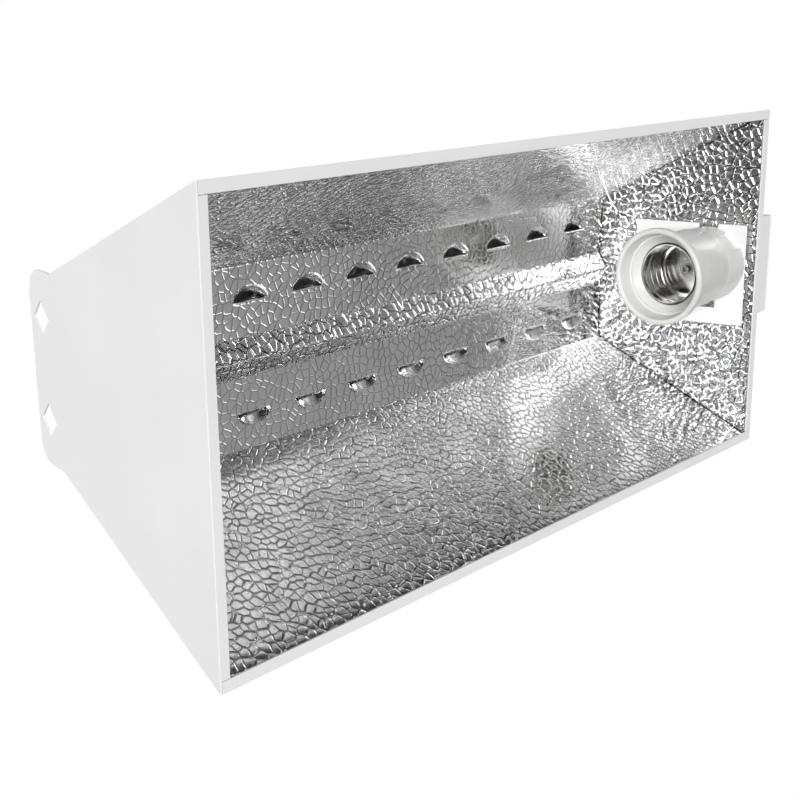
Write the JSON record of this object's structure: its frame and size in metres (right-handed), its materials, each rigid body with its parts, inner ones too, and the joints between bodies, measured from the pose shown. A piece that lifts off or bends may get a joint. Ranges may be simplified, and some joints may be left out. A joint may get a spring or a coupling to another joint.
{
  "type": "grow lamp reflector hood",
  "caption": "Double-shelled trapezoid grow lamp hood with a hammered, louvred reflector and an adjustable screw lampholder, open at the rim and hung by its ears.",
  "frame": {"origin": "centre of the whole object, socket box included, in the plane of the open rim", "axes": "+X along the hood toward the lampholder end, +Z from the open rim up to the roof and ears"},
  "size_m": [0.538, 0.225, 0.1834],
  "materials": {
    "white_enamel": "white powder coat, satin",
    "hammered_aluminium": "hammered specular",
    "porcelain": "white glazed porcelain",
    "nickel_brass": "nickel plated",
    "brass": "bright",
    "zinc_steel": "zinc plated",
    "black_nylon": "moulded, satin",
    "silicone_black": "matte",
    "silicone_white": "matte",
    "connector_ceramic": "unglazed ceramic, matte"
  },
  "bodies": {
    "hood": {"bracket_nut_1": "zinc_steel", "bracket_nut_2": "zinc_steel", "bracket_nut_3": "zinc_steel", "bracket_nut_4": "zinc_steel", "cable_gland": "black_nylon", "cable_gland_cap": "black_nylon", "cable_gland_nut": "black_nylon", "cover_screw_1": "zinc_steel", "cover_screw_2": "zinc_steel", "earth_screw": "brass", "end_plate_plain": "white_enamel", "end_plate_socket": "white_enamel", "housing_shell": "white_enamel", "junction_box": "white_enamel", "junction_box_cover": "white_enamel", "reflector_end_plain": "hammered_aluminium", "reflector_end_socket": "hammered_aluminium", "reflector_roof": "hammered_aluminium", "reflector_side_left": "hammered_aluminium", "reflector_side_right": "hammered_aluminium", "reflector_spacer_plain": "zinc_steel", "reflector_spacer_socket": "zinc_steel", "rivet_plain_left_high": "zinc_steel", "rivet_plain_left_low": "zinc_steel", "rivet_plain_right_high": "zinc_steel", "rivet_plain_right_low": "zinc_steel", "rivet_roof_plain_left": "zinc_steel", "rivet_roof_plain_right": "zinc_steel", "rivet_roof_socket_left": "zinc_steel", "rivet_roof_socket_right": "zinc_steel", "rivet_socket_left_high": "zinc_steel", "rivet_socket_left_low": "zinc_steel", "rivet_socket_right_high": "zinc_steel", "rivet_socket_right_low": "zinc_steel", "socket_bracket": "white_enamel"},
    "lampholder": {"clamp_plate": "zinc_steel", "lampholder_body": "porcelain", "lampholder_cap": "porcelain", "lampholder_screw_lower": "brass", "lampholder_screw_upper": "brass", "lead_live": "silicone_black", "lead_neutral": "silicone_white", "mounting_nipple": "zinc_steel", "screw_shell": "nickel_brass", "terminal_contact": "brass", "terminal_shell": "brass", "wire_connector_live": "connector_ceramic", "wire_connector_neutral": "connector_ceramic"},
    "centre_contact": {"centre_contact": "nickel_brass", "contact_leaf": "brass"}
  },
  "joints": [
    {"name": "lampholder_slide", "type": "slide", "parent": "hood", "child": "lampholder", "axis": [0, 1, 0], "range_m": [-0.008, 0.008]},
    {"name": "contact_press", "type": "slide", "parent": "lampholder", "child": "centre_contact", "axis": [1, 0, 0], "range_m": [0, 0.002], "stiffness_N_per_m": 2000}
  ]
}
